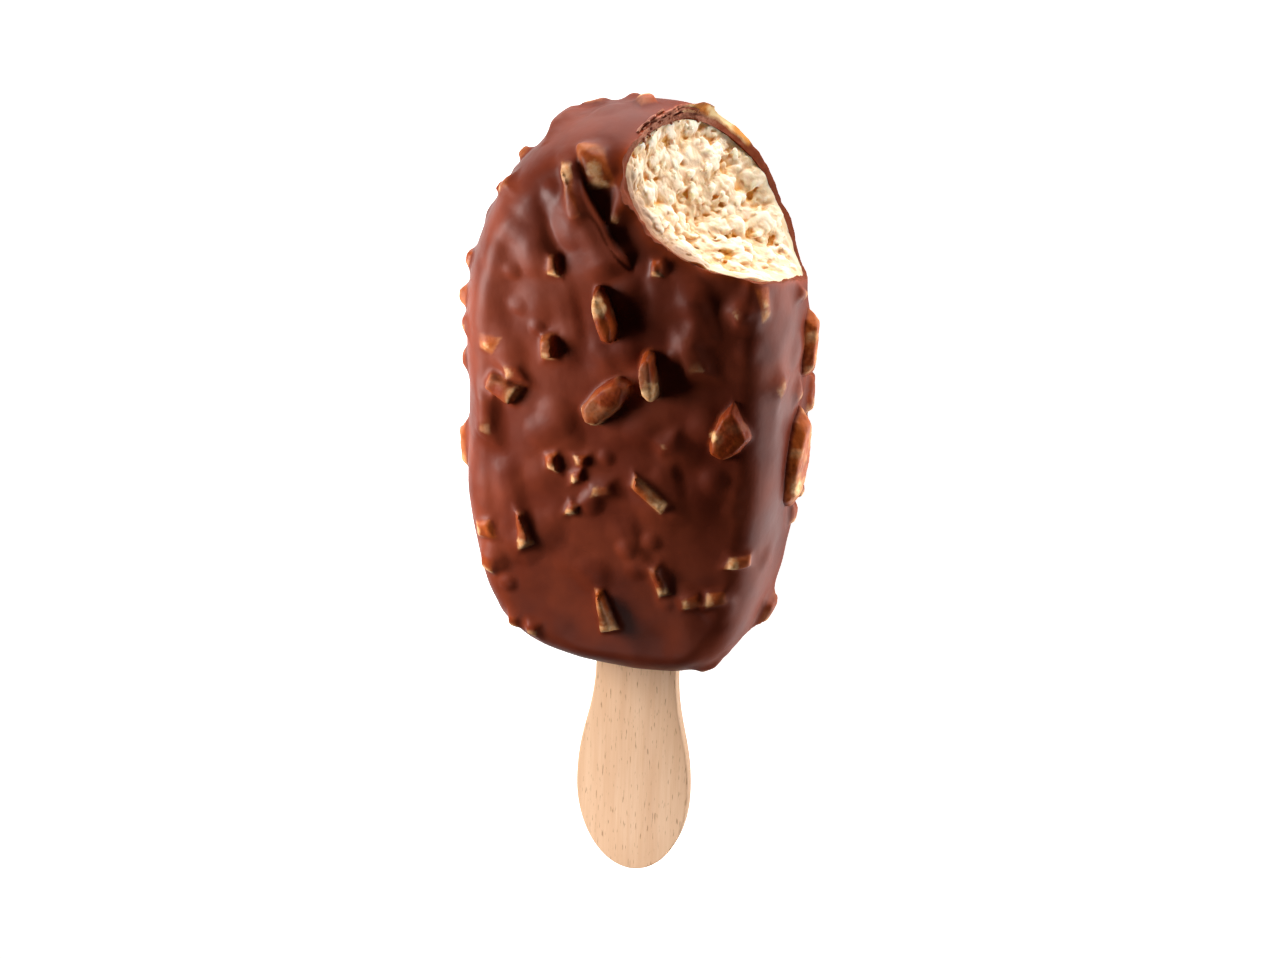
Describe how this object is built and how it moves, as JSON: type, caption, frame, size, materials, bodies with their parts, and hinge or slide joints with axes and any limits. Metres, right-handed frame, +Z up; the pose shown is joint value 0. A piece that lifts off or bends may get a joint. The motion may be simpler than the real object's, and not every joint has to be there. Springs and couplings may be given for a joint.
{
  "type": "ice cream bar",
  "caption": "Ice cream bar in an almond chocolate coat with one bite taken at the top, on a contoured flat wooden stick, lying on its back.",
  "frame": {"origin": "middle of the underside of the box around the whole bar and stick, on the surface that the bar lies on", "axes": "+Y along the bar, from the stick to the bitten end, +X across it, +Z up out of the shown face"},
  "size_m": [0.052, 0.1218, 0.03],
  "materials": {
    "chocolate": "satin milk chocolate",
    "ice_cream": "crumbly vanilla ice cream",
    "wood": "plain sanded beech",
    "almond": "roasted almond under a thin film of chocolate"
  },
  "bodies": {
    "root": {"chocolate_shell": "chocolate", "ice_cream_core": "ice_cream", "stick": "wood", "almond_face_upper": "almond", "almond_face_middle": "almond", "almond_face_centre": "almond", "almond_face_right": "almond", "almond_flank_upper": "almond", "almond_flank_lower": "almond"}
  },
  "joints": []
}
